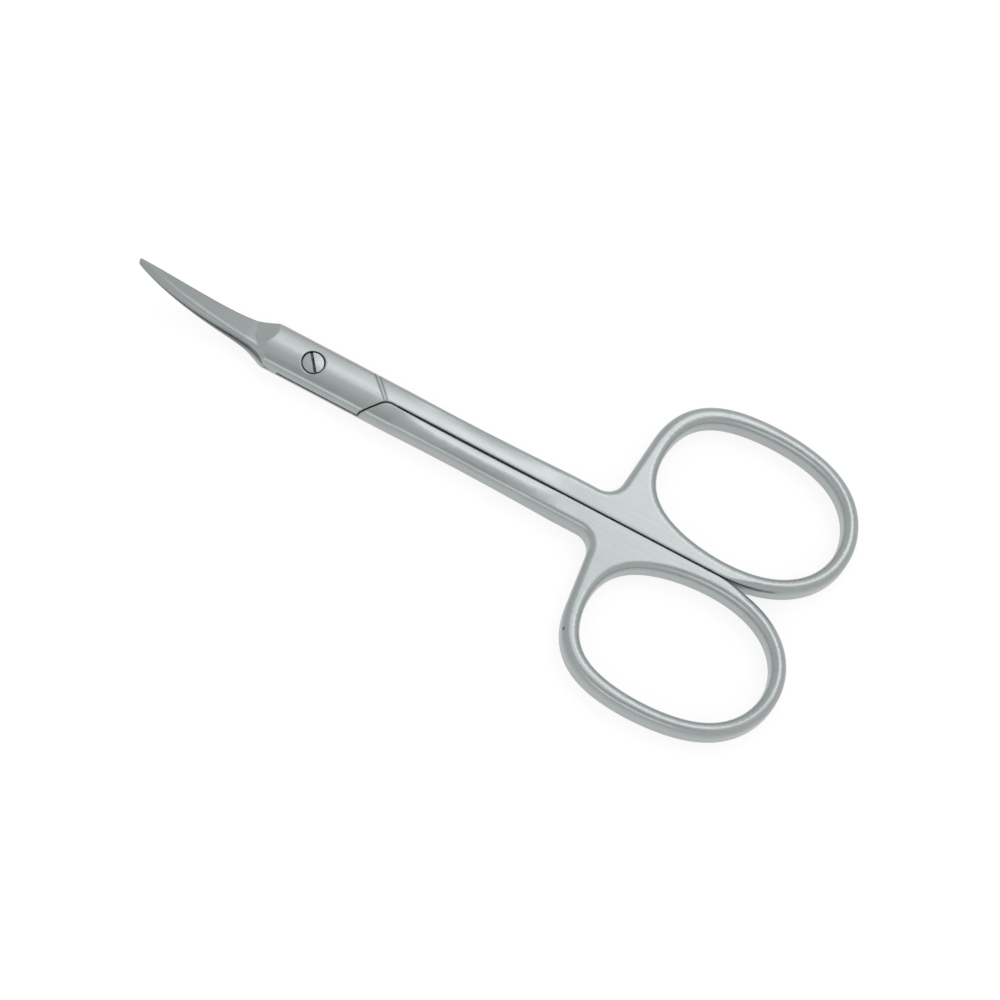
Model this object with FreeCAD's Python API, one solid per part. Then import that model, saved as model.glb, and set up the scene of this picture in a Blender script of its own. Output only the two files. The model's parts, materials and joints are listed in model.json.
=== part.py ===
import FreeCAD, Part
import math
import os
from FreeCAD import Vector

# Cuticle scissors, closed. +X runs from the pivot to the finger rings and +Z up from the table.
# The pivot's axis is Z, and the scissors rest on z = 0. Lengths are in mm, angles in degrees.

# Whole object
overall_length = 89.05
blade_reach = 23.1          # pivot to blade tips, seen from above
thickness = 3.5             # shanks and rings, and the two joint plates together

# Clearances
lap_clearance = 0.04        # between the two joint plates
side_gap = 0.2              # between the two shanks, and round the joint's steps
bore_clearance = 0.03       # screw shoulder in the front half, on the radius
stem_clearance = 0.01       # screw stem in the rear half, on the radius
head_clearance = 0.03       # under the screw head
overrun = 1.0               # how far cutting bodies pass the faces they cut

# Joint
joint_width = 5.45
joint_reach = 5.1           # pivot to the shoulders where the blades start
crown_angle = 20.0          # slope of the crowned faces where their rounded edges start
joint_edge_radius = 0.95
arrow_reach = 5.9           # pivot to the pointed end of the crowned joint face
arrow_upper_reach = 4.2     # pivot to that end's corner at +Y
arrow_knee_reach = 5.5      # pivot to its bend at -Y
arrow_lower_reach = 3.3     # pivot to where it runs out at -Y
arrow_apex_share = -0.1     # where the point lies, of half the joint's width
arrow_knee_share = -0.46    # the same for the bend
arrow_run = 4.0             # length of the slope round that end
arrow_side_run = 0.9        # how far that slope spreads to -Y
lap_groove_depth = 0.2      # relief round each plate, where it laps the other one
lap_groove_height = 0.25

# Step where the joint plate meets the other half's shank
step_apex = 9.65            # pivot to the inner corner of the step
step_angle = 49.8           # between the step and the shank
step_corner_radius = 1.6

# Two fine grooves across the outer face, above the step
groove_depth = 0.12
groove_width = 0.15         # measured along the shank
groove_inner_spacing = 0.4
groove_outer_spacing = 0.75

# Shank
shank_start = 11.2
root_length = 6.6           # flat stretch of a shank in front of its ring
shank_waist = 2.55          # width of one shank at its narrowest
shank_root_width = 2.78     # width of one shank in front of its ring
shank_edge_radius = 0.6
gap_edge_radius = 0.1       # edges that face the other shank
upper_crown_place = 0.2     # from the centre line to where the upper face is level
lower_crown_place = 1.05    # the same on the lower face
# share of the shank's length: share of the change from waist to ring root, share of the crown's slope
shank_shares = ((0.32, 0.0, 1.0), (0.68, 0.5, 1.0), (0.88, 0.8, 0.45))

# Finger ring
ring_hole_length = 22.95
ring_hole_width = 15.9
ring_band = 1.85
ring_cheek_extra = 0.3          # how much wider the band is at the cheek beside the shank
cheek_middle_bearing = 152.0    # where it is widest, counted from +X
ring_edge_radius = 0.85
throat_radius = 2.2         # inside corner between shank and ring
ring_fullness_share = 0.024     # how much fuller than an ellipse the hole is
fullness_swing_share = 0.011    # how much that changes round the ring
fullness_bearing = 156.0        # where it is fullest, counted from +X
ring_tilt = -2.2
rounding_bearing = -62.0        # where the edge that starts in the gap is fully rounded
cheek_bearing = 175.0           # where the ring leaves the inside corner at the shank
ring_points = 24

# Blades
tip_rise = 5.0              # how far the tips bend up
front_curve_start = 6.5     # pivot to the start of the bend, front blade's inner face
rear_curve_start = 7.9      # the same on the rear blade, later so that the blades stand hollow
tip_back = 0.28             # length of the rounded tip
tip_width_share = 0.13      # its half-width, of half the joint's width
# share of the blade's length, and the blade's half-width there as a share of the joint's
edge_shares = ((0.074, 0.81), (0.168, 0.665), (0.379, 0.534), (0.589, 0.453), (0.8, 0.33), (0.905, 0.24))
spine_shares = ((0.074, 0.68), (0.168, 0.525), (0.379, 0.45), (0.589, 0.41), (0.8, 0.315), (0.905, 0.24))
blade_height = 1.46         # ridge above the inner face, at the root
cutting_land = 0.45         # wall at the cutting edge, at the root
spine_wall = 0.85           # wall at the spine, at the root
# share of the blade's length: shares of ridge height, cutting wall, spine wall, and the ridge's place
facet_shares = (
    (-0.1, 1.0, 1.0, 1.0, -0.68),
    (0.08, 0.97, 0.55, 0.94, -0.64),
    (0.28, 0.85, 0.38, 0.8, -0.63),
    (0.5, 0.7, 0.33, 0.64, -0.5),
    (0.75, 0.52, 0.3, 0.45, -0.18),
    (1.03, 0.32, 0.24, 0.26, -0.08),
)
ridge_blend_share = 0.22    # half the width of the rounded ridge, of the blade's half-width
shoulder_run = 0.5          # how far the joint's rounded edges run on over the blade's root
facet_margin = 0.12         # how far the facets pass the outline before they are trimmed

# Pivot screw
head_diameter = 2.5
recess_diameter = 2.86
shoulder_diameter = 1.8
head_height = 0.62
head_sink = 0.1             # top of the head below the joint face
head_dome = 0.1
slot_width = 0.34
slot_depth = 0.36
slot_bearing = -53.0
stem_diameter = 1.6         # outside of its thread, which is left plain
stem_chamfer = 0.15

half_width = joint_width / 2
half_gap = side_gap / 2
mid_height = thickness / 2
blade_length = blade_reach - joint_reach
ring_end = overall_length - blade_reach
shank_end = ring_end - 2 * ring_band - ring_hole_length - root_length
z_axis = Vector(0, 0, 1)
origin = Vector(0, 0, 0)


def line(start, end):
    return Part.LineSegment(start, end).toShape()


def chain(points):
    return [line(a, b) for a, b in zip(points, points[1:])]


def arc_about(centre, radius, start_deg, end_deg, place):
    angles = (start_deg, (start_deg + end_deg) / 2, end_deg)
    spots = [(centre[0] + radius * math.cos(math.radians(a)),
              centre[1] + radius * math.sin(math.radians(a))) for a in angles]
    return Part.Arc(*[place(*spot) for spot in spots]).toShape()


def across(x):
    return lambda y, z: Vector(x, y, z)


def flat(x, y):
    return Vector(x, y, 0)


def solid_of(shape):
    return shape.Solids[0] if len(shape.Solids) == 1 else shape


def prism(edges, bottom, top):
    face = Part.Face(Part.Wire(Part.__sortEdges__(edges)))
    face.translate(Vector(0, 0, bottom))
    return face.extrude(Vector(0, 0, top - bottom))


def turned_over(shape):
    return shape.rotated(Vector(0, 0, mid_height), Vector(1, 0, 0), 180)


# Cross-section of a shank or of the joint, in the plane x

def crown_shape(width, edge, angle, level):
    """Radius of a crowned face, and the depth of its rounded edge's centre below the top."""
    bend = math.radians(angle)
    crown = (width - edge * (1 - math.sin(bend)) - level) / math.sin(bend)
    return crown, crown * (1 - math.cos(bend)) + edge * math.cos(bend)


def mirrored_down(edges):
    return [edge.mirror(Vector(0, 0, mid_height), z_axis) for edge in edges]


def crowned_face(x, width, edge, angle, level):
    """Edges of a shank's upper face, and the heights where its outer wall and gap wall start."""
    place = across(x)
    crown, edge_drop = crown_shape(width, edge, angle, level)
    inner = half_gap + gap_edge_radius
    inner_bend = math.asin((inner - level) / crown)
    wall_top = thickness - edge_drop
    gap_top = thickness - crown * (1 - math.cos(inner_bend)) - gap_edge_radius
    edges = [
        arc_about((level, thickness - crown), crown, 90 - math.degrees(inner_bend), 90 - angle, place),
        arc_about((width - edge, wall_top), edge, 90 - angle, 0, place),
        arc_about((inner, gap_top), gap_edge_radius, 90, 180, place),
    ]
    return edges, wall_top, gap_top


def flat_face(x, width, edge):
    """The same edges and heights where the shank's faces are flat."""
    place = across(x)
    inner = half_gap + gap_edge_radius
    wall_top = thickness - edge
    gap_top = thickness - gap_edge_radius
    edges = [
        line(place(inner, thickness), place(width - edge, thickness)),
        arc_about((width - edge, wall_top), edge, 90, 0, place),
        arc_about((inner, gap_top), gap_edge_radius, 90, 180, place),
    ]
    return edges, wall_top, gap_top


def shank_section(x, width, upper_face, lower_face):
    upper, wall_top, gap_top = upper_face
    lower, wall_low, gap_low = lower_face
    sides = [
        line(Vector(x, width, wall_top), Vector(x, width, thickness - wall_low)),
        line(Vector(x, half_gap, gap_top), Vector(x, half_gap, thickness - gap_low)),
    ]
    return Part.Wire(Part.__sortEdges__(upper + sides + mirrored_down(lower)))


def joint_section(x, inset):
    place = across(x)
    width = half_width - inset
    edge = joint_edge_radius - inset
    top = thickness - inset
    crown, edge_drop = crown_shape(width, edge, crown_angle, 0)
    wall_top = top - edge_drop
    upper = [
        arc_about((0, top - crown), crown, 90 + crown_angle, 90 - crown_angle, place),
        arc_about((width - edge, wall_top), edge, 90 - crown_angle, 0, place),
        arc_about((edge - width, wall_top), edge, 90 + crown_angle, 180, place),
    ]
    sides = [line(place(y, wall_top), place(y, thickness - wall_top)) for y in (-width, width)]
    return Part.Wire(Part.__sortEdges__(upper + sides + mirrored_down(upper)))


def joint_rod(inset):
    start = -arrow_reach - arrow_run - overrun
    face = Part.Face(joint_section(start, inset))
    return face.extrude(Vector(shank_start - start, 0, 0))


# Outlines seen from above

def step_path(offset):
    """Edges of the line between the two halves, moved sideways by offset, and its outer end."""
    slant = math.radians(step_angle)
    along = Vector(-math.cos(slant), -math.sin(slant), 0)
    apex = Vector(step_apex - offset * math.tan(slant / 2), offset, 0)
    radius = step_corner_radius + offset
    reach = radius * math.tan(slant / 2)
    tangent = apex + Vector(reach, 0, 0)
    centre = (tangent.x, tangent.y - radius)
    bend_end = apex + along * reach
    length = (half_width + overrun + bend_end.y) / math.sin(slant)
    outer = bend_end + along * length
    edges = [
        line(Vector(shank_start, offset, 0), tangent),
        arc_about(centre, radius, 90, 90 + step_angle, flat),
        line(bend_end, outer),
    ]
    return edges, outer


def blade_outline():
    def spot(share, width_share, side):
        return Vector(-joint_reach - share * blade_length, side * width_share * half_width, 0)
    tip_start = Vector(-blade_reach + tip_back, tip_width_share * half_width, 0)
    tip_mirror = Vector(tip_start.x, -tip_start.y, 0)
    edges = [Part.Arc(tip_start, Vector(-blade_reach, 0, 0), tip_mirror).toShape()]
    for side, shares in ((1, edge_shares), (-1, spine_shares)):
        points = [spot(0, 1, side)] + [spot(a, b, side) for a, b in shares]
        points.append(tip_start if side > 0 else tip_mirror)
        curve = Part.BSplineCurve()
        curve.interpolate(Points=points)
        edges.append(curve.toShape())
    return edges


def front_plan():
    path, outer = step_path(half_gap)
    rim = half_width + overrun
    near = [outer, Vector(-joint_reach, -rim, 0), Vector(-joint_reach, -half_width, 0)]
    far = [
        Vector(-joint_reach, half_width, 0), Vector(-joint_reach, rim, 0),
        Vector(shank_start, rim, 0), Vector(shank_start, half_gap, 0),
    ]
    return path + chain(near) + blade_outline() + chain(far)


def shank_foot_plan():
    path, outer = step_path(-half_gap)
    corner = Vector(shank_start, outer.y, 0)
    rear = path + chain([outer, corner, Vector(shank_start, -half_gap, 0)])
    return [edge.mirror(origin, Vector(0, 1, 0)) for edge in rear]


# Joint of one half, with its joint plate in the upper layer

def inner_face_curve(start):
    run = blade_reach - start
    return (run * run + tip_rise * tip_rise) / (2 * tip_rise)


def inner_face_solid(start, level, other_level):
    """Turned body between the blades' inner face and a level plane."""
    radius = inner_face_curve(start)
    end = blade_reach + overrun
    end_angle = math.degrees(math.asin((end - start) / radius))
    bend = arc_about((start, level + radius), radius, -90, end_angle - 90, lambda r, z: Vector(r, 0, z))
    bend_end = bend.valueAt(bend.LastParameter)
    rest = chain([
        bend_end, Vector(end, 0, other_level), Vector(0, 0, other_level),
        Vector(0, 0, level), Vector(start, 0, level),
    ])
    face = Part.Face(Part.Wire(Part.__sortEdges__([bend] + rest)))
    return face.revolve(origin, z_axis, 360)


def above_inner_face():
    return inner_face_solid(front_curve_start, mid_height + lap_clearance / 2, thickness + tip_rise + overrun)


def below_inner_face():
    return inner_face_solid(rear_curve_start, mid_height - lap_clearance / 2, -overrun)


def arrow_wire(run, side_run, height):
    rim = half_width + overrun
    back = shank_start + overrun
    spots = [
        (back, -rim), (back, rim), (-arrow_upper_reach - run, rim), (-arrow_upper_reach - run, half_width),
        (-arrow_reach - run, arrow_apex_share * half_width),
        (-arrow_knee_reach - run, arrow_knee_share * half_width - side_run),
        (-arrow_lower_reach - run, -half_width - side_run), (-arrow_lower_reach - run, -rim), (back, -rim),
    ]
    return Part.makePolygon([Vector(x, y, height) for x, y in spots])


def step_groove(inner_x, outer_x):
    """Fine groove on the outer face, from inner_x at the centre line to outer_x at the rim."""
    past = overrun / half_width

    def spot(share, shift):
        return Vector(inner_x + (outer_x - inner_x) * share + shift, half_width * share, 0)
    half = groove_width / 2
    points = [spot(-past, half), spot(1 + past, half), spot(1 + past, -half), spot(-past, -half)]
    strip = prism(chain(points + points[:1]), mid_height, thickness + overrun)
    return strip.cut(joint_rod(groove_depth))


def lap_groove():
    rim = half_width + overrun
    corner = Vector(-joint_reach, -rim, mid_height - overrun)
    belt = Part.makeBox(shank_start + joint_reach, 2 * rim, lap_groove_height + overrun, corner)
    return belt.cut(joint_rod(lap_groove_depth))


def joint_block():
    rod = joint_rod(0)
    arrow_foot = arrow_wire(arrow_run, arrow_side_run, mid_height)
    arrow = Part.makeLoft([arrow_foot, arrow_wire(0, 0, thickness)], True, True)
    plan = prism(front_plan(), 0, thickness + overrun)
    plate = rod.common(arrow).common(plan).common(above_inner_face()).cut(lap_groove())
    foot = rod.common(prism(shank_foot_plan(), -overrun, thickness + overrun))
    rim_x = step_apex - half_width / math.tan(math.radians(step_angle))
    grooves = [
        step_groove(step_apex, rim_x),
        step_groove(step_apex - groove_inner_spacing, rim_x - groove_outer_spacing),
    ]
    return plate.fuse(foot).cut(grooves)


# Shank and finger ring

def shank():
    start_face = crowned_face(shank_start, half_width, joint_edge_radius, crown_angle, 0)
    end_face = flat_face(shank_end, shank_root_width, ring_edge_radius)
    sections = [shank_section(shank_start, half_width, start_face, start_face)]
    for share, change, slope in shank_shares:
        x = shank_start + share * (shank_end - shank_start)
        width = shank_waist + change * (shank_root_width - shank_waist)
        edge = shank_edge_radius + change * (ring_edge_radius - shank_edge_radius)
        upper = crowned_face(x, width, edge, slope * crown_angle, upper_crown_place)
        lower = crowned_face(x, width, edge, slope * crown_angle, lower_crown_place)
        sections.append(shank_section(x, width, upper, lower))
    sections.append(shank_section(shank_end, shank_root_width, end_face, end_face))
    return Part.makeLoft(sections, True, False)


def ring_spot(bearing, offset):
    """Point of the ring's hole about its own centre, moved outward by offset."""
    swing = bearing - math.radians(fullness_bearing)
    full = ring_fullness_share + fullness_swing_share * math.cos(swing)
    full_change = -fullness_swing_share * math.sin(swing)
    long_half = ring_hole_length / 2 / (1 - ring_fullness_share)
    wide_half = ring_hole_width / 2 / (1 - ring_fullness_share)
    cos_three = math.cos(3 * bearing)
    sin_three = math.sin(3 * bearing)
    x = long_half * (math.cos(bearing) - full * cos_three)
    y = wide_half * (math.sin(bearing) + full * sin_three)
    dx = long_half * (-math.sin(bearing) + 3 * full * sin_three - full_change * cos_three)
    dy = wide_half * (math.cos(bearing) + 3 * full * cos_three + full_change * sin_three)
    length = math.hypot(dx, dy)
    spot = Vector(x + offset * dy / length, y - offset * dx / length, 0)
    return FreeCAD.Rotation(z_axis, ring_tilt).multVec(spot)


def band_at(bearing):
    lobe = max(math.cos(bearing - math.radians(cheek_middle_bearing)), 0)
    return ring_band + ring_cheek_extra * lobe ** 2


def ring_curve(band):
    bearings = [2 * math.pi * i / ring_points for i in range(ring_points)]
    points = [ring_spot(bearing, band(bearing)) for bearing in bearings]
    curve = Part.BSplineCurve()
    curve.interpolate(Points=points, PeriodicFlag=True)
    return curve


def lowest_parameter(curve):
    level = line(Vector(-overall_length, -overall_length, 0), Vector(overall_length, -overall_length, 0))
    nearest = curve.toShape().distToShape(level)[1][0][0]
    return curve.parameter(nearest), nearest


def ring_outline():
    """Outline of shank end and ring, the hole's edge, and how high the edge from the gap is all rounded."""
    outer = ring_curve(band_at)
    hole = ring_curve(lambda bearing: 0)
    inner_parameter, inner_spot = lowest_parameter(outer)
    cheek_angle = math.radians(cheek_bearing)
    rounding_angle = math.radians(rounding_bearing)
    cheek_parameter = outer.parameter(ring_spot(cheek_angle, band_at(cheek_angle)))
    rounding_parameter = outer.parameter(ring_spot(rounding_angle, band_at(rounding_angle)))
    far_x = outer.toShape().optimalBoundingBox(False, False).XMax
    shift = Vector(ring_end - far_x, half_gap - inner_spot.y, 0)
    outer.translate(shift)
    hole.translate(shift)
    period = outer.LastParameter - outer.FirstParameter
    ring_edges = [
        Part.Edge(outer, inner_parameter, rounding_parameter),
        Part.Edge(outer, rounding_parameter - period, cheek_parameter),
    ]
    ring_start = outer.value(inner_parameter)
    cheek_spot = outer.value(cheek_parameter)
    heading = outer.tangent(cheek_parameter)[0]
    away = Vector(heading.y, -heading.x, 0)
    centre_y = shank_root_width + throat_radius
    centre_x = (throat_radius + cheek_spot.dot(away) - centre_y * away.y) / away.x
    throat_start = Vector(centre_x, shank_root_width, 0)
    throat_end = Vector(centre_x, centre_y, 0) - away * throat_radius
    end_deg = math.degrees(math.atan2(-away.y, -away.x))
    throat = arc_about((centre_x, centre_y), throat_radius, end_deg, -90, flat)
    edges = ring_edges + [line(cheek_spot, throat_end), throat]
    edges += chain([
        throat_start, Vector(shank_end, shank_root_width, 0), Vector(shank_end, half_gap, 0), ring_start,
    ])
    return edges, hole.toShape(), outer.value(rounding_parameter).y


def edge_rounding(edge, rounded_y):
    """Start and end radius for one edge of the ring's flat faces, or nothing."""
    box = edge.BoundBox
    slack = gap_edge_radius / 10
    if box.ZLength > slack or box.XMax < shank_end + slack:
        return None
    if box.YMax > rounded_y + slack:
        return ring_edge_radius, ring_edge_radius
    if box.YMax < half_gap + slack:
        return gap_edge_radius, gap_edge_radius
    return gap_edge_radius, ring_edge_radius


def rounded(document, shape, rounded_y):
    base = document.addObject("Part::Feature", "Ring")
    base.Shape = shape
    fillet = document.addObject("Part::Fillet", "RoundedRing")
    fillet.Base = base
    radii = [(number, edge_rounding(edge, rounded_y)) for number, edge in enumerate(shape.Edges, 1)]
    fillet.Edges = [(number, pair[0], pair[1]) for number, pair in radii if pair]
    document.recompute()
    return fillet.Shape


def ring(document):
    edges, hole, rounded_y = ring_outline()
    face = Part.Face(Part.Wire(Part.__sortEdges__(edges))).cut(Part.Face(Part.Wire([hole])))
    return rounded(document, solid_of(face.extrude(Vector(0, 0, thickness))), rounded_y)


# Blades

def inner_height(x, start):
    run = -x - start
    if run <= 0:
        return mid_height
    radius = inner_face_curve(start)
    return mid_height + radius - math.sqrt(radius * radius - run * run)


def outline_width(share):
    """Half-width of the blade at a share of its length, read off its outline points."""
    knots = [(-1, 1), (0, 1)] + list(edge_shares)
    knots += [(1 - tip_back / blade_length, tip_width_share), (2, 0)]
    for (a, wa), (b, wb) in zip(knots, knots[1:]):
        if share <= b:
            return half_width * (wa + (wb - wa) * (share - a) / (b - a))


def facet_section(shares, start, side):
    place, ridge_share, edge_share, spine_share, ridge_place = shares
    x = -joint_reach - place * blade_length
    level = inner_height(x, start)
    width = outline_width(place)
    reach = width + facet_margin
    ridge_y = ridge_place * width
    ridge_z = blade_height * ridge_share
    edge_z = cutting_land * edge_share
    spine_z = spine_wall * spine_share
    edge_slope = (edge_z - ridge_z) / (width - ridge_y)
    spine_slope = (ridge_z - spine_z) / (ridge_y + width)
    blend = ridge_blend_share * width
    deep = -mid_height / 2
    spots = [
        (ridge_y - blend, ridge_z - spine_slope * blend), (-reach, spine_z - spine_slope * facet_margin),
        (-reach, deep), (reach, deep), (reach, edge_z + edge_slope * facet_margin),
        (ridge_y + blend, ridge_z + edge_slope * blend),
    ]
    places = [Vector(x, side * y, level + side * z) for y, z in spots]
    ridge_top = (places[0] + places[-1]) / 4 + Vector(x, side * ridge_y, level + side * ridge_z) / 2
    ridge = Part.Arc(places[-1], ridge_top, places[0]).toShape()
    return Part.Wire(chain(places) + [ridge])


def beside_joint():
    rim = half_width + overrun
    corner = Vector(-joint_reach - shoulder_run, -rim, -overrun)
    space = Part.makeBox(shank_start - corner.x, 2 * rim, thickness + 2 * overrun, corner)
    return space.cut(joint_rod(0))


def blade(side):
    start = front_curve_start if side > 0 else rear_curve_start
    body = Part.makeLoft([facet_section(shares, start, side) for shares in facet_shares], True, False)
    plan = prism(front_plan(), -overrun, thickness + tip_rise + overrun)
    if side < 0:
        plan = plan.mirror(origin, Vector(0, 1, 0))
    kept = above_inner_face() if side > 0 else below_inner_face()
    return body.common(plan).common(kept).cut(beside_joint())


# The three pieces

def bore(diameter, bottom, top):
    return Part.makeCylinder(diameter / 2, top - bottom, Vector(0, 0, bottom), z_axis)


def head_seat():
    return thickness - head_sink - head_height - head_clearance


def turned(points):
    face = Part.Face(Part.makePolygon([Vector(r, 0, z) for r, z in points + points[:1]]))
    return face.revolve(origin, z_axis, 360)


def half_blank(document, side):
    body = joint_block().fuse([shank(), ring(document)])
    if side < 0:
        body = turned_over(body)
    return body.fuse(blade(side))


def front_half(document):
    body = half_blank(document, 1)
    recess = bore(recess_diameter, head_seat(), thickness + overrun)
    hole = bore(shoulder_diameter + 2 * bore_clearance, -overrun, thickness + overrun)
    return solid_of(body.cut([recess, hole]).removeSplitter())


def rear_half(document):
    body = half_blank(document, -1)
    hole = bore(stem_diameter + 2 * stem_clearance, -overrun, thickness + overrun)
    return solid_of(body.cut(hole).removeSplitter())


def pivot_screw():
    head_top = thickness - head_sink
    head_bottom = head_top - head_height
    shoulder_bottom = mid_height - lap_clearance / 2
    head_r = head_diameter / 2
    shoulder_r = shoulder_diameter / 2
    stem_r = stem_diameter / 2
    dome_radius = (head_r * head_r + head_dome * head_dome) / (2 * head_dome)
    dome = Part.makeSphere(dome_radius, Vector(0, 0, head_top - dome_radius))
    body = turned([
        (0, head_top), (head_r, head_top), (head_r, head_bottom), (shoulder_r, head_bottom),
        (shoulder_r, shoulder_bottom), (stem_r, shoulder_bottom), (stem_r, stem_chamfer),
        (stem_r - stem_chamfer, 0), (0, 0),
    ]).common(dome)
    slot = Part.makeBox(head_diameter + 2 * overrun, slot_width, slot_depth + overrun)
    slot.translate(Vector(-head_r - overrun, -slot_width / 2, head_top - slot_depth))
    slot.rotate(origin, z_axis, slot_bearing)
    return solid_of(body.cut(slot))


def main():
    os.makedirs("parts", exist_ok=True)
    document = FreeCAD.newDocument("CuticleScissors")
    pieces = {
        "front_half": front_half(document),
        "rear_half": rear_half(document),
        "pivot_screw": pivot_screw(),
    }
    for name, shape in pieces.items():
        print(name, shape.ShapeType, shape.isValid(), round(shape.Volume, 2), shape.BoundBox)
        shape.exportStep("parts/" + name + ".step")


main()
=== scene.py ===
import json
import math

import bmesh
import bpy
from mathutils import Matrix, Vector

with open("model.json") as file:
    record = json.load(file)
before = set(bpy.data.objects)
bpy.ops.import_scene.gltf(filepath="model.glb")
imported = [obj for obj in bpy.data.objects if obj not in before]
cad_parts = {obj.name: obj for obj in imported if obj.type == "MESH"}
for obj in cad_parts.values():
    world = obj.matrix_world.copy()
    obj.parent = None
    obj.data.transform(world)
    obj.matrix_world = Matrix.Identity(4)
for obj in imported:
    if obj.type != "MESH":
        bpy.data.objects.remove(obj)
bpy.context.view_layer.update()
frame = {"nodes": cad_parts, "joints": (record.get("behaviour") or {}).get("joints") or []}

nodes = frame["nodes"]
pivotJoint = frame["joints"][0]
pivot = Vector(pivotJoint["pos_m"])
mm = 0.001
print("frame loaded:", ", ".join(sorted(nodes)))


# small helpers for node trees
def addNode(tree, kind, **values):
    node = tree.nodes.new(kind)
    for key, value in values.items():
        setattr(node, key, value)
    return node


def feed(tree, socket, value):
    if isinstance(value, bpy.types.NodeSocket):
        tree.links.new(value, socket)
    else:
        socket.default_value = value


def calc(tree, operation, *values, clamp=False):
    node = addNode(tree, "ShaderNodeMath", operation=operation, use_clamp=clamp)
    for socket, value in zip(node.inputs, values):
        feed(tree, socket, value)
    return node.outputs[0]


def remap(tree, value, low, high, newLow=0.0, newHigh=1.0, smooth=True):
    node = addNode(tree, "ShaderNodeMapRange", clamp=True)
    node.interpolation_type = "SMOOTHSTEP" if smooth else "LINEAR"
    for socket, number in zip(node.inputs, (value, low, high, newLow, newHigh)):
        feed(tree, socket, number)
    return node.outputs[0]


def vectorCalc(tree, operation, first, second):
    node = addNode(tree, "ShaderNodeVectorMath", operation=operation)
    feed(tree, node.inputs[0], first)
    feed(tree, node.inputs[1], second)
    return node.outputs[0]


def noise(tree, place, scale, detail, rough=0.5):
    node = addNode(tree, "ShaderNodeTexNoise")
    feed(tree, node.inputs["Vector"], place)
    node.inputs["Scale"].default_value = scale
    node.inputs["Detail"].default_value = detail
    node.inputs["Roughness"].default_value = rough
    return node.outputs["Fac"]


def newGroup(name, takes, gives):
    tree = bpy.data.node_groups.new(name, "ShaderNodeTree")
    for label, kind in takes:
        tree.interface.new_socket(label, in_out="INPUT", socket_type="NodeSocket" + kind)
    for label, kind in gives:
        tree.interface.new_socket(label, in_out="OUTPUT", socket_type="NodeSocket" + kind)
    return tree, addNode(tree, "NodeGroupInput").outputs, addNode(tree, "NodeGroupOutput").inputs


def useGroup(tree, group, **values):
    node = addNode(tree, "ShaderNodeGroup", node_tree=group)
    for label, value in values.items():
        feed(tree, node.inputs[label], value)
    return node.outputs


finishAndShadeMarks = {
    "broadStreak": (0.12, 5.0, 5.0),    # streaks per mm along X, Y and Z
    "fineStreak": (0.5, 26.0, 26.0),
    "cloudScale": 0.35,                 # patches per mm
    "grainScale": 9.0,
    "edgeRise": (0.2, 0.55),            # how level a face is where it starts to count as a rounded edge
    "edgeFall": (0.8, 0.985),
    "shadePatchScale": 3.0,                   # patches per mm in the painted seam shade
    "shadeThinnest": 0.75,
}


# streaks left by the brush, drawn out along X
def makeBrushing(marks):
    tree, take, give = newGroup("brushing", [("Place", "Vector")], [("Broad", "Float"), ("Fine", "Float")])
    broad = vectorCalc(tree, "MULTIPLY", take["Place"], marks["broadStreak"])
    fine = vectorCalc(tree, "MULTIPLY", take["Place"], marks["fineStreak"])
    feed(tree, give["Broad"], noise(tree, broad, 1.0, 3.0, 0.62))
    feed(tree, give["Fine"], noise(tree, fine, 1.0, 2.0, 0.6))
    return tree


# cloudy satin: broad patches and a fine grain
def makeSatin(marks):
    tree, take, give = newGroup("satin", [("Place", "Vector")], [("Cloud", "Float"), ("Grain", "Float")])
    feed(tree, give["Cloud"], noise(tree, take["Place"], marks["cloudScale"], 3.0, 0.55))
    feed(tree, give["Grain"], noise(tree, take["Place"], marks["grainScale"], 2.0, 0.6))
    return tree


# rounded edges: the surface is tilted out of both the flat faces and the upright walls
def makeRounding(marks):
    tree, take, give = newGroup("rounding", [("Facing", "Vector")], [("Edge", "Float")])
    split = addNode(tree, "ShaderNodeSeparateXYZ")
    feed(tree, split.inputs[0], take["Facing"])
    tilt = calc(tree, "ABSOLUTE", split.outputs["Z"])
    rise = remap(tree, tilt, *marks["edgeRise"])
    fall = remap(tree, tilt, *marks["edgeFall"], 1.0, 0.0)
    feed(tree, give["Edge"], calc(tree, "MULTIPLY", rise, fall))
    return tree


# painted shade in a seam, patchy where it thins out; the small pits are added to it
def makeShadeAndPits(marks):
    tree, take, give = newGroup("shadeAndPitGroup", [("Place", "Vector"), ("Seam", "Float")], [("ShadeAndPitLayer", "Float")])
    patches = noise(tree, take["Place"], marks["shadePatchScale"], 3.0)
    patchy = remap(tree, patches, 0.3, 0.6, marks["shadeThinnest"], 1.0)
    feed(tree, give["ShadeAndPitLayer"], calc(tree, "MULTIPLY", take["Seam"], patchy, clamp=True))
    return tree


brushing = makeBrushing(finishAndShadeMarks)
satin = makeSatin(finishAndShadeMarks)
rounding = makeRounding(finishAndShadeMarks)
shadeAndPitGroup = makeShadeAndPits(finishAndShadeMarks)
print("finish groups made")


def newMaterial(name):
    material = bpy.data.materials.new(name)
    material.use_nodes = True
    tree = material.node_tree
    tree.nodes.clear()
    shader = addNode(tree, "ShaderNodeBsdfPrincipled")
    out = addNode(tree, "ShaderNodeOutputMaterial")
    tree.links.new(shader.outputs[0], out.inputs["Surface"])
    return material, tree, shader


def mixColor(tree, amount, first, second):
    node = addNode(tree, "ShaderNodeMix", data_type="RGBA")
    feed(tree, node.inputs["Factor"], amount)
    feed(tree, node.inputs["A"], first)
    feed(tree, node.inputs["B"], second)
    return node.outputs["Result"]


def placeInMm(tree, coordinate):
    place = vectorCalc(tree, "SCALE", coordinate.outputs["Object"], (0, 0, 0))
    place.node.inputs["Scale"].default_value = 1 / mm
    split = addNode(tree, "ShaderNodeSeparateXYZ")
    feed(tree, split.inputs[0], place)
    return place, split.outputs


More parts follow.
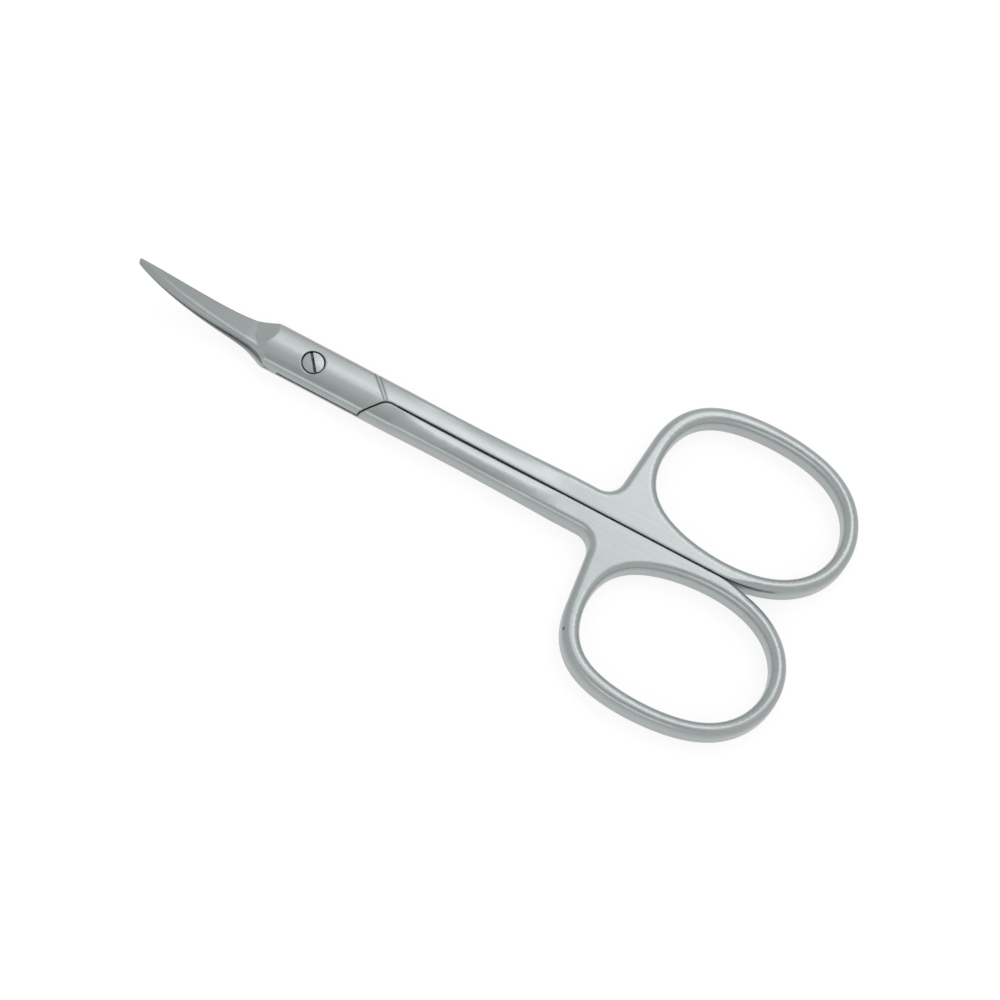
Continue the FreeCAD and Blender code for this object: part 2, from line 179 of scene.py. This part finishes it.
def between(tree, value, low, high, soft):
    rise = remap(tree, value, low - soft, low)
    return calc(tree, "MULTIPLY", rise, fadeOut(tree, value, high, soft))


def radiusOf(tree, axis):
    squares = calc(tree, "ADD", calc(tree, "POWER", axis["X"], 2.0), calc(tree, "POWER", axis["Y"], 2.0))
    return calc(tree, "SQRT", squares)


# painted shade where shade falls between the parts: along the lap of the two halves and in the recess round
# the screw's head
paintedSeamShade = {
    "color": (0.085, 0.088, 0.088, 1),
    "roughness": 0.6,
    "lapHalf": 0.26,            # mm, the relief round the lap
    "lapFrom": -4.0,
    "lapTo": 7.6,
    "lapInside": 2.48,
    "lapRim": 2.68,
    "recessInside": 1.3,        # mm, round the screw's head
    "recessOutside": 1.45,
    "recessBelow": 3.2,
    "fade": 0.04,               # mm, how softly the painted shade ends
    "fadeAlong": 0.25,
    "fadeThin": 0.02,
    "recessFade": 0.1,
}


def fadeOut(tree, value, edge, fade):
    return remap(tree, value, edge, edge + fade, 1.0, 0.0)


# mask of the painted shade: the lap between the halves and the recess round the screw's head
def paintedSeamShadeMask(tree, axis):
    fadeThin = paintedSeamShade["fadeThin"]
    side = calc(tree, "ABSOLUTE", axis["Y"])
    height = calc(tree, "ABSOLUTE", calc(tree, "SUBTRACT", axis["Z"], pivot.z / mm))
    lapLength = between(tree, axis["X"], paintedSeamShade["lapFrom"], paintedSeamShade["lapTo"], paintedSeamShade["fadeAlong"])
    lapFloor = between(tree, side, paintedSeamShade["lapInside"], paintedSeamShade["lapRim"], paintedSeamShade["fade"])
    lap = calc(tree, "MULTIPLY", lapLength, fadeOut(tree, height, paintedSeamShade["lapHalf"], fadeThin))
    lap = calc(tree, "MULTIPLY", lap, lapFloor)
    ring = between(tree, radiusOf(tree, axis), paintedSeamShade["recessInside"], paintedSeamShade["recessOutside"], fadeThin)
    recess = calc(tree, "MULTIPLY", ring, fadeOut(tree, axis["Z"], paintedSeamShade["recessBelow"], paintedSeamShade["recessFade"]))
    return calc(tree, "MAXIMUM", lap, recess)


# the listed pits are real dark marks, laid into the painted seam shade
def addPits(tree, dark, place, pits):
    for pit in pits:
        away = addNode(tree, "ShaderNodeVectorMath", operation="DISTANCE")
        feed(tree, away.inputs[0], place)
        away.inputs[1].default_value = pit["place"]
        spot = remap(tree, away.outputs["Value"], pit["core"], pit["radius"], pit["shadeAndPits"], 0.0)
        dark = calc(tree, "MAXIMUM", dark, spot)
    return dark


frontHalf = {
    "node": "front_half",
    "color": (0.383, 0.411, 0.409, 1),
    "shade": (0.347, 0.373, 0.372, 1),
    "roughness": 0.31,
    "bladeStart": -7.5,         # mm
    "bladeFade": 1.5,
    "patchRange": (0.3, 0.7),
    "streakRange": (0.34, 0.66),
    "streakPart": 0.6,          # the rest of the change in tone is cloudy patches
    "grainRoughness": 0.06,
    "edgePolish": 0.05,         # rounded edges are that much smoother
    "bladeColor": (0.328, 0.353, 0.351, 1),
    "bladeRoughness": 0.44,
    "softening": 0.3,           # mm
    "bumpStrength": 0.25,
    "bumpDepth": 0.01,          # mm
    "fineBump": 0.4,            # against the broad streaks
    "grainBump": 0.5,
    "pits": [],
}
rearHalf = dict(frontHalf, node="rear_half")
rearHalf["pits"] = [    # mm, a small dark pit in the ring's outer side
    {"place": (40.19, -14.51, 3.23), "core": 0.12, "radius": 0.3, "shadeAndPits": 0.75},
]


def makeSteel(half):
    material, tree, shader = newMaterial(half["node"] + "Satin")
    coordinate = addNode(tree, "ShaderNodeTexCoord")
    place, axis = placeInMm(tree, coordinate)
    streaks = useGroup(tree, brushing, Place=place)
    finish = useGroup(tree, satin, Place=place)
    edge = useGroup(tree, rounding, Facing=coordinate.outputs["Normal"])["Edge"]
    dark = addPits(tree, paintedSeamShadeMask(tree, axis), place, half["pits"])
    shadeAndPits = useGroup(tree, shadeAndPitGroup, Place=place, Seam=dark)["ShadeAndPitLayer"]
    blade = remap(tree, axis["X"], half["bladeStart"], half["bladeStart"] - half["bladeFade"])

    patches = remap(tree, finish["Cloud"], *half["patchRange"])
    drawn = remap(tree, streaks["Broad"], *half["streakRange"])
    cloudy = calc(tree, "MULTIPLY", patches, 1 - half["streakPart"])
    tone = calc(tree, "MULTIPLY_ADD", drawn, half["streakPart"], cloudy)
    steel = mixColor(tree, tone, half["shade"], half["color"])
    steel = mixColor(tree, blade, steel, half["bladeColor"])
    # the colour goes to the painted shade colour in the seams and to the pits' dark colour
    feed(tree, shader.inputs["Base Color"], mixColor(tree, shadeAndPits, steel, paintedSeamShade["color"]))
    shader.inputs["Metallic"].default_value = 1.0
    base = calc(tree, "MULTIPLY_ADD", blade, half["bladeRoughness"] - half["roughness"], half["roughness"])
    smoothest = calc(tree, "SUBTRACT", base, half["grainRoughness"] / 2)
    grainy = calc(tree, "MULTIPLY_ADD", finish["Grain"], half["grainRoughness"], smoothest)
    rounded = calc(tree, "MULTIPLY_ADD", edge, -half["edgePolish"], grainy)
    shadeRoughness = calc(tree, "MULTIPLY_ADD", shadeAndPits, paintedSeamShade["roughness"] - half["roughness"], rounded)
    feed(tree, shader.inputs["Roughness"], shadeRoughness)
    bump = addNode(tree, "ShaderNodeBump")
    bump.inputs["Strength"].default_value = half["bumpStrength"]
    bump.inputs["Distance"].default_value = half["bumpDepth"] * mm
    soft = addNode(tree, "ShaderNodeBevel", samples=6)      # edges softened by the brush
    soft.inputs["Radius"].default_value = half["softening"] * mm
    feed(tree, bump.inputs["Normal"], soft.outputs["Normal"])
    lines = calc(tree, "MULTIPLY_ADD", streaks["Fine"], half["fineBump"], streaks["Broad"])
    feed(tree, bump.inputs["Height"], calc(tree, "MULTIPLY_ADD", finish["Grain"], half["grainBump"], lines))
    feed(tree, shader.inputs["Normal"], bump.outputs["Normal"])
    return material


pivotScrew = {
    "node": "pivot_screw",
    "color": (0.383, 0.411, 0.409, 1),
    "shade": (0.316, 0.34, 0.339, 1),
    "roughness": 0.3,
    "turningPitch": 0.05,       # mm
    "slotBearing": -53.0,
    "slotHalf": 0.168,          # mm
    "slotFloor": 2.95,          # mm
    "slotRim": 3.24,
    "slotFade": 0.08,
    "grainRoughness": 0.08,
    "headRim": 1.24,            # mm
    "bumpStrength": 0.2,
    "bumpDepth": 0.004,         # mm
}


def makeScrewSteel(screw):
    material, tree, shader = newMaterial("screwSatin")
    coordinate = addNode(tree, "ShaderNodeTexCoord")
    place, axis = placeInMm(tree, coordinate)
    finish = useGroup(tree, satin, Place=place)
    radius = radiusOf(tree, axis)
    turning = calc(tree, "SINE", calc(tree, "MULTIPLY", radius, 2 * math.pi / screw["turningPitch"]))
    bearing = math.radians(screw["slotBearing"])
    aside = calc(tree, "SUBTRACT", calc(tree, "MULTIPLY", axis["Y"], math.cos(bearing)),
                 calc(tree, "MULTIPLY", axis["X"], math.sin(bearing)))
    slot = fadeOut(tree, calc(tree, "ABSOLUTE", aside), screw["slotHalf"], paintedSeamShade["fadeThin"])
    below = between(tree, axis["Z"], screw["slotFloor"], screw["slotRim"], screw["slotFade"])
    rim = remap(tree, radius, screw["headRim"] - paintedSeamShade["fadeThin"], screw["headRim"])
    # painted shade down in the slot and in the gap round the head
    dark = calc(tree, "MULTIPLY", calc(tree, "MAXIMUM", slot, rim), below)
    shadeAndPits = useGroup(tree, shadeAndPitGroup, Place=place, Seam=dark)["ShadeAndPitLayer"]
    steel = mixColor(tree, finish["Cloud"], screw["shade"], screw["color"])
    feed(tree, shader.inputs["Base Color"], mixColor(tree, shadeAndPits, steel, paintedSeamShade["color"]))
    shader.inputs["Metallic"].default_value = 1.0
    smoothest = screw["roughness"] - screw["grainRoughness"] / 2
    grainy = calc(tree, "MULTIPLY_ADD", finish["Grain"], screw["grainRoughness"], smoothest)
    shadeRoughness = calc(tree, "MULTIPLY_ADD", shadeAndPits, paintedSeamShade["roughness"] - screw["roughness"], grainy)
    feed(tree, shader.inputs["Roughness"], shadeRoughness)
    bump = addNode(tree, "ShaderNodeBump")
    bump.inputs["Strength"].default_value = screw["bumpStrength"]
    bump.inputs["Distance"].default_value = screw["bumpDepth"] * mm
    feed(tree, bump.inputs["Height"], turning)
    feed(tree, shader.inputs["Normal"], bump.outputs["Normal"])
    return material


def dress(node, material):
    piece = nodes[node]
    piece.data.materials.clear()
    piece.data.materials.append(material)


for half in (frontHalf, rearHalf):
    dress(half["node"], makeSteel(half))
dress(pivotScrew["node"], makeScrewSteel(pivotScrew))
print("steel finishes assigned")


floorSheet = {
    "reach": 4.0,               # m
    "height": -0.00002,         # m, clear of the flat underside
    "color": (0.2, 0.2, 0.2, 1),
    "glow": 0.83,               # seen by the camera and in reflections
}


def makeFloor(sheet):
    shape = bmesh.new()
    bmesh.ops.create_grid(shape, x_segments=1, y_segments=1, size=sheet["reach"])
    mesh = bpy.data.meshes.new("floor")
    shape.to_mesh(mesh)
    shape.free()
    floor = bpy.data.objects.new("floor", mesh)
    floor.location.z = sheet["height"]
    bpy.context.scene.collection.objects.link(floor)
    material = bpy.data.materials.new("paleFloor")
    material.use_nodes = True
    tree = material.node_tree
    tree.nodes.clear()
    diffuse = addNode(tree, "ShaderNodeBsdfDiffuse")
    diffuse.inputs["Color"].default_value = sheet["color"]
    glow = addNode(tree, "ShaderNodeEmission")
    ray = addNode(tree, "ShaderNodeLightPath")
    seen = calc(tree, "MAXIMUM", ray.outputs["Is Camera Ray"], ray.outputs["Is Glossy Ray"])
    seen = calc(tree, "MAXIMUM", seen, ray.outputs["Is Transmission Ray"])
    feed(tree, glow.inputs["Strength"], calc(tree, "MULTIPLY", seen, sheet["glow"]))
    both = addNode(tree, "ShaderNodeAddShader")
    tree.links.new(diffuse.outputs[0], both.inputs[0])
    tree.links.new(glow.outputs[0], both.inputs[1])
    out = addNode(tree, "ShaderNodeOutputMaterial")
    tree.links.new(both.outputs[0], out.inputs["Surface"])
    mesh.materials.append(material)
    return floor


makeFloor(floorSheet)


studio = {
    "roomLevel": 0.87,
    "roomSlope": 0.03,          # more light from +X, less from -X
    "spotToward": (0.0335, -0.3256, 0.945),     # the dark spot where the photographer stands
    "spotLevel": 0.22,
    "spotEdge": (0.9945, 0.981),
    "distance": 0.62,           # m
    "middle": (26.0, 0.0, 0.0),     # mm from the pivot, what the panels face
    "panels": [
        {"name": "keyPanel", "toward": (0.16, 0.43, 0.889), "size": (0.4, 0.2), "level": 1.9},
        {"name": "backPanel", "toward": (0.0, 0.72, 0.694), "size": (0.36, 0.16), "level": 0.7},
        {"name": "fillPanel", "toward": (-0.02, -0.66, 0.75), "size": (0.3, 0.24), "level": 0.8},
    ],
}


def makePanel(panel, light):
    lamp = bpy.data.lights.new(panel["name"], "AREA")
    lamp.shape = "RECTANGLE"
    lamp.size, lamp.size_y = panel["size"]
    lamp.energy = panel["level"] * math.pi * lamp.size * lamp.size_y     # the level is its brightness
    holder = bpy.data.objects.new(panel["name"], lamp)
    toward = Vector(panel["toward"]).normalized()
    holder.location = pivot + Vector(light["middle"]) * mm + toward * light["distance"]
    holder.rotation_euler = toward.to_track_quat("Z", "Y").to_euler()
    bpy.context.scene.collection.objects.link(holder)


def makeStudio(light):
    world = bpy.data.worlds.new("room")
    bpy.context.scene.world = world
    world.use_nodes = True
    tree = world.node_tree
    background = tree.nodes["Background"]
    background.inputs["Color"].default_value = (1, 1, 1, 1)
    toward = addNode(tree, "ShaderNodeTexCoord").outputs["Generated"]
    split = addNode(tree, "ShaderNodeSeparateXYZ")
    feed(tree, split.inputs[0], toward)
    dot = addNode(tree, "ShaderNodeVectorMath", operation="DOT_PRODUCT")
    feed(tree, dot.inputs[0], toward)
    dot.inputs[1].default_value = light["spotToward"]
    room = calc(tree, "MULTIPLY_ADD", split.outputs["X"], light["roomSlope"], light["roomLevel"])
    clear = remap(tree, dot.outputs["Value"], *light["spotEdge"])
    spot = calc(tree, "MULTIPLY_ADD", clear, 1 - light["spotLevel"], light["spotLevel"])
    feed(tree, background.inputs["Strength"], calc(tree, "MULTIPLY", room, spot))
    for panel in light["panels"]:
        makePanel(panel, light)


makeStudio(studio)
print("studio lit")


photoView = {
    "target": (26.66, -3.766, 1.83),    # mm
    "distance": 608.5,                  # mm
    "azimuth": 5.875,
    "elevation": 70.888,
    "roll": 22.175,
    "lens": 188.53,
}


def makeCamera(view):
    azimuth, elevation, roll = (math.radians(view[key]) for key in ("azimuth", "elevation", "roll"))
    level = math.cos(elevation)
    back = Vector((math.sin(azimuth) * level, -math.cos(azimuth) * level, math.sin(elevation)))
    right = Vector((math.cos(azimuth), math.sin(azimuth), 0))
    up = back.cross(right)
    turnedRight = right * math.cos(roll) + up * math.sin(roll)
    turnedUp = up * math.cos(roll) - right * math.sin(roll)
    data = bpy.data.cameras.new("photoCamera")
    data.lens = view["lens"]
    data.clip_start = 0.05
    data.clip_end = 20.0
    camera = bpy.data.objects.new("photoCamera", data)
    place = Vector(view["target"]) * mm + back * view["distance"] * mm
    axes = Matrix((turnedRight, turnedUp, back)).transposed()
    camera.matrix_world = Matrix.Translation(place) @ axes.to_4x4()
    bpy.context.scene.collection.objects.link(camera)
    bpy.context.scene.camera = camera


makeCamera(photoView)
bpy.context.scene.view_settings.view_transform = "Standard"
print("camera set")
